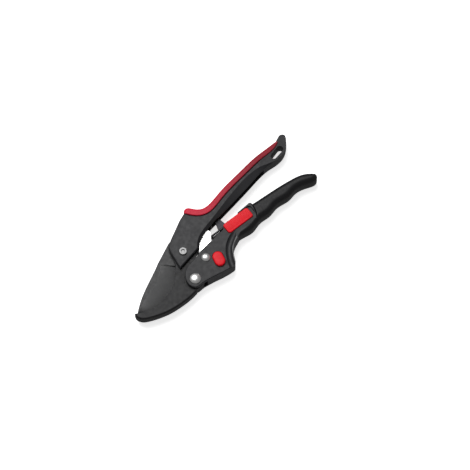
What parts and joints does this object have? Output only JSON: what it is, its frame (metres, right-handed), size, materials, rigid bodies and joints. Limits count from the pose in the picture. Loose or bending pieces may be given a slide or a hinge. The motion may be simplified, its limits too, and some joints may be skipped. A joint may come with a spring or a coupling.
{
  "type": "anvil pruner",
  "caption": "Ratchet anvil pruner with a wide coated blade, grooved hook anvil, ratchet link, slide lock, hang slot and finger guard.",
  "frame": {"origin": "under the middle of the closed tool, on the plane it lies on", "axes": "+X towards the handle ends, +Y towards the upper handle, +Z out of the side with the domed rivets"},
  "size_m": [0.208, 0.0664, 0.019],
  "materials": {
    "handle_paint": "satin dark grey powder coat",
    "jaw_coat": "satin black coat",
    "red_grip": "matt soft-touch red",
    "black_rubber": "satin black soft rubber",
    "red_plastic": "satin red",
    "blade_coat": "non-stick grey-black coat",
    "bright_steel": "bright zinc plate",
    "link_steel": "bright nickel plate",
    "spring_steel": "oiled black spring steel",
    "dark_steel": "blackened steel",
    "steel": "plain",
    "bronze": "sintered bronze"
  },
  "bodies": {
    "frame": {"upper_handle": "handle_paint", "grip_strip": "red_grip", "anvil_jaw": "jaw_coat", "anvil_dowels": "steel", "pivot_screw": "bright_steel", "pivot_nut": "bright_steel", "pivot_bush": "bronze", "blade_washers": "bronze", "keeper_pin": "steel"},
    "cutting_blade": {"blade": "blade_coat"},
    "lower_lever": {"lower_handle": "handle_paint", "rubber_grip": "black_rubber", "main_rivet": "bright_steel", "rivet_burr": "bright_steel", "link_rivet": "bright_steel", "handle_washers": "bronze", "link_washers": "bronze", "return_spring": "spring_steel", "detent_leaf": "spring_steel"},
    "ratchet_link": {"link_plate_front": "link_steel", "link_plate_back": "link_steel", "link_spacer": "link_steel", "notch_pin": "link_steel"},
    "lock": {"lock_slider": "red_plastic", "lock_catch": "dark_steel", "catch_rivets": "steel"},
    "ratchet_switch": {"switch_button": "red_plastic", "switch_retainer": "dark_steel", "switch_screw": "steel"}
  },
  "joints": [
    {"name": "handle_squeeze", "type": "hinge", "parent": "frame", "child": "lower_lever", "pos_m": [-0.04498, -0.01777, 0.009], "axis": [0, 0, 1], "range_deg": [-38, 0]},
    {"name": "blade_pivot", "type": "hinge", "parent": "frame", "child": "cutting_blade", "pos_m": [-0.03458, 0.00713, 0.009], "axis": [0, 0, 1], "range_deg": [-26.03, 0]},
    {"name": "link_swing", "type": "hinge", "parent": "lower_lever", "child": "ratchet_link", "pos_m": [-0.02488, -0.01067, 0.009], "axis": [0, 0, 1], "range_deg": [0, 49.4]},
    {"name": "lock_slide", "type": "slide", "parent": "lower_lever", "child": "lock", "axis": [0.9914, -0.1305, 0], "range_m": [0, 0.003]},
    {"name": "switch_slide", "type": "slide", "parent": "lower_lever", "child": "ratchet_switch", "axis": [-0.3584, -0.9336, 0], "range_m": [0, 0.004]}
  ],
  "couplings": [
    {"joint": "blade_pivot", "follows": "handle_squeeze", "ratio": 0.685},
    {"joint": "link_swing", "follows": "handle_squeeze", "ratio": -1.3}
  ]
}
